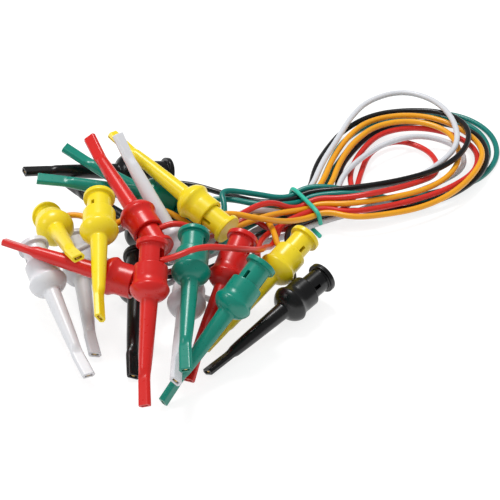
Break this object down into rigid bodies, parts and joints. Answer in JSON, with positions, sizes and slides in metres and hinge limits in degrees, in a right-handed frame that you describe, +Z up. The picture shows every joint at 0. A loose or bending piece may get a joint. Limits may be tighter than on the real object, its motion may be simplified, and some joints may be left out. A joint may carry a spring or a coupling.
{
  "type": "hook clip test lead set",
  "caption": "Bundle of thin coloured test leads, each with a sprung plunger hook clip on both ends, gathered by a soft tie and laid in a loop.",
  "frame": {"origin": "on the table, below the middle of the clips' and the tie's box", "axes": "+Z up from the table; +Y away from the viewer along the heap's longest side; +X to the wires' loop"},
  "size_m": [0.1765, 0.1883, 0.0427],
  "materials": {
    "black_plastic": "glossy moulded plastic",
    "green_plastic": "glossy moulded plastic",
    "red_plastic": "glossy moulded plastic",
    "white_plastic": "glossy moulded plastic",
    "yellow_plastic": "glossy moulded plastic",
    "black_insulation": "smooth soft insulation",
    "green_insulation": "smooth soft insulation",
    "red_insulation": "smooth soft insulation",
    "white_insulation": "smooth soft insulation",
    "yellow_insulation": "smooth soft insulation",
    "hook_metal": "plated spring wire",
    "spring_steel": "drawn wire",
    "tie_plastic": "smooth soft insulation"
  },
  "bodies": {
    "lead_set": {"black_barrels": "black_plastic", "green_barrels": "green_plastic", "red_barrels": "red_plastic", "white_barrels": "white_plastic", "yellow_barrels": "yellow_plastic", "return_springs": "spring_steel", "black_1_wire": "black_insulation", "black_2_wire": "black_insulation", "green_1_wire": "green_insulation", "green_2_wire": "green_insulation", "red_1_wire": "red_insulation", "red_2_wire": "red_insulation", "white_1_wire": "white_insulation", "white_2_wire": "white_insulation", "yellow_1_wire": "yellow_insulation", "yellow_2_wire": "yellow_insulation", "tie": "tie_plastic"},
    "black_1_press_part": {"black_1_plunger": "black_plastic", "black_1_hook": "hook_metal"},
    "black_2_press_part": {"black_2_plunger": "black_plastic", "black_2_hook": "hook_metal"},
    "black_3_press_part": {"black_3_plunger": "black_plastic", "black_3_hook": "hook_metal"},
    "black_4_press_part": {"black_4_plunger": "black_plastic", "black_4_hook": "hook_metal"},
    "green_1_press_part": {"green_1_plunger": "green_plastic", "green_1_hook": "hook_metal"},
    "green_2_press_part": {"green_2_plunger": "green_plastic", "green_2_hook": "hook_metal"},
    "green_3_press_part": {"green_3_plunger": "green_plastic", "green_3_hook": "hook_metal"},
    "green_4_press_part": {"green_4_plunger": "green_plastic", "green_4_hook": "hook_metal"},
    "red_1_press_part": {"red_1_plunger": "red_plastic", "red_1_hook": "hook_metal"},
    "red_2_press_part": {"red_2_plunger": "red_plastic", "red_2_hook": "hook_metal"},
    "red_3_press_part": {"red_3_plunger": "red_plastic", "red_3_hook": "hook_metal"},
    "red_4_press_part": {"red_4_plunger": "red_plastic", "red_4_hook": "hook_metal"},
    "white_1_press_part": {"white_1_plunger": "white_plastic", "white_1_hook": "hook_metal"},
    "white_2_press_part": {"white_2_plunger": "white_plastic", "white_2_hook": "hook_metal"},
    "white_3_press_part": {"white_3_plunger": "white_plastic", "white_3_hook": "hook_metal"},
    "white_4_press_part": {"white_4_plunger": "white_plastic", "white_4_hook": "hook_metal"},
    "yellow_1_press_part": {"yellow_1_plunger": "yellow_plastic", "yellow_1_hook": "hook_metal"},
    "yellow_2_press_part": {"yellow_2_plunger": "yellow_plastic", "yellow_2_hook": "hook_metal"},
    "yellow_3_press_part": {"yellow_3_plunger": "yellow_plastic", "yellow_3_hook": "hook_metal"},
    "yellow_4_press_part": {"yellow_4_plunger": "yellow_plastic", "yellow_4_hook": "hook_metal"}
  },
  "joints": [
    {"name": "black_1_press", "type": "slide", "parent": "lead_set", "child": "black_1_press_part", "axis": [-0.8848, -0.3756, 0.2756], "range_m": [0, 0.003], "stiffness_N_per_m": 250, "springref_m": -0.002, "deforming": ["return_springs"]},
    {"name": "black_2_press", "type": "slide", "parent": "lead_set", "child": "black_2_press_part", "axis": [-0.7455, 0.6596, 0.0958], "range_m": [0, 0.003], "stiffness_N_per_m": 250, "springref_m": -0.002, "deforming": ["return_springs"]},
    {"name": "black_3_press", "type": "slide", "parent": "lead_set", "child": "black_3_press_part", "axis": [-0.0087, -0.9925, -0.1219], "range_m": [0, 0.003], "stiffness_N_per_m": 250, "springref_m": -0.002, "deforming": ["return_springs"]},
    {"name": "black_4_press", "type": "slide", "parent": "lead_set", "child": "black_4_press_part", "axis": [-0.6754, -0.7242, -0.1392], "range_m": [0, 0.003], "stiffness_N_per_m": 250, "springref_m": -0.002, "deforming": ["return_springs"]},
    {"name": "green_1_press", "type": "slide", "parent": "lead_set", "child": "green_1_press_part", "axis": [-0.8671, 0.377, 0.3256], "range_m": [0, 0.003], "stiffness_N_per_m": 250, "springref_m": -0.002, "deforming": ["return_springs"]},
    {"name": "green_2_press", "type": "slide", "parent": "lead_set", "child": "green_2_press_part", "axis": [-0.9799, 0.0085, 0.1994], "range_m": [0, 0.003], "stiffness_N_per_m": 250, "springref_m": -0.002, "deforming": ["return_springs"]},
    {"name": "green_3_press", "type": "slide", "parent": "lead_set", "child": "green_3_press_part", "axis": [-0.0424, -0.9714, -0.2335], "range_m": [0, 0.003], "stiffness_N_per_m": 250, "springref_m": -0.002, "deforming": ["return_springs"]},
    {"name": "green_4_press", "type": "slide", "parent": "lead_set", "child": "green_4_press_part", "axis": [-0.5668, -0.6875, -0.454], "range_m": [0, 0.003], "stiffness_N_per_m": 250, "springref_m": -0.002, "deforming": ["return_springs"]},
    {"name": "red_1_press", "type": "slide", "parent": "lead_set", "child": "red_1_press_part", "axis": [-0.4667, 0.8596, 0.2079], "range_m": [0, 0.003], "stiffness_N_per_m": 250, "springref_m": -0.002, "deforming": ["return_springs"]},
    {"name": "red_2_press", "type": "slide", "parent": "lead_set", "child": "red_2_press_part", "axis": [-0.9275, 0.3654, 0.0785], "range_m": [0, 0.003], "stiffness_N_per_m": 250, "springref_m": -0.002, "deforming": ["return_springs"]},
    {"name": "red_3_press", "type": "slide", "parent": "lead_set", "child": "red_3_press_part", "axis": [-0.038, -0.8695, -0.4924], "range_m": [0, 0.003], "stiffness_N_per_m": 250, "springref_m": -0.002, "deforming": ["return_springs"]},
    {"name": "red_4_press", "type": "slide", "parent": "lead_set", "child": "red_4_press_part", "axis": [-0.3247, -0.8685, -0.3746], "range_m": [0, 0.003], "stiffness_N_per_m": 250, "springref_m": -0.002, "deforming": ["return_springs"]},
    {"name": "white_1_press", "type": "slide", "parent": "lead_set", "child": "white_1_press_part", "axis": [-0.4838, 0.6082, 0.6293], "range_m": [0, 0.003], "stiffness_N_per_m": 250, "springref_m": -0.002, "deforming": ["return_springs"]},
    {"name": "white_2_press", "type": "slide", "parent": "lead_set", "child": "white_2_press_part", "axis": [0.361, -0.8935, -0.2672], "range_m": [0, 0.003], "stiffness_N_per_m": 250, "springref_m": -0.002, "deforming": ["return_springs"]},
    {"name": "white_3_press", "type": "slide", "parent": "lead_set", "child": "white_3_press_part", "axis": [0.147, -0.9836, -0.1045], "range_m": [0, 0.003], "stiffness_N_per_m": 250, "springref_m": -0.002, "deforming": ["return_springs"]},
    {"name": "white_4_press", "type": "slide", "parent": "lead_set", "child": "white_4_press_part", "axis": [-0.0784, -0.9968, 0.0174], "range_m": [0, 0.003], "stiffness_N_per_m": 250, "springref_m": -0.002, "deforming": ["return_springs"]},
    {"name": "yellow_1_press", "type": "slide", "parent": "lead_set", "child": "yellow_1_press_part", "axis": [-0.7273, 0.6322, 0.2672], "range_m": [0, 0.003], "stiffness_N_per_m": 250, "springref_m": -0.002, "deforming": ["return_springs"]},
    {"name": "yellow_2_press", "type": "slide", "parent": "lead_set", "child": "yellow_2_press_part", "axis": [0.2503, -0.9026, 0.3502], "range_m": [0, 0.003], "stiffness_N_per_m": 250, "springref_m": -0.002, "deforming": ["return_springs"]},
    {"name": "yellow_3_press", "type": "slide", "parent": "lead_set", "child": "yellow_3_press_part", "axis": [0.0433, -0.9916, -0.1219], "range_m": [0, 0.003], "stiffness_N_per_m": 250, "springref_m": -0.002, "deforming": ["return_springs"]},
    {"name": "yellow_4_press", "type": "slide", "parent": "lead_set", "child": "yellow_4_press_part", "axis": [-0.5947, -0.7612, -0.2588], "range_m": [0, 0.003], "stiffness_N_per_m": 250, "springref_m": -0.002, "deforming": ["return_springs"]}
  ]
}
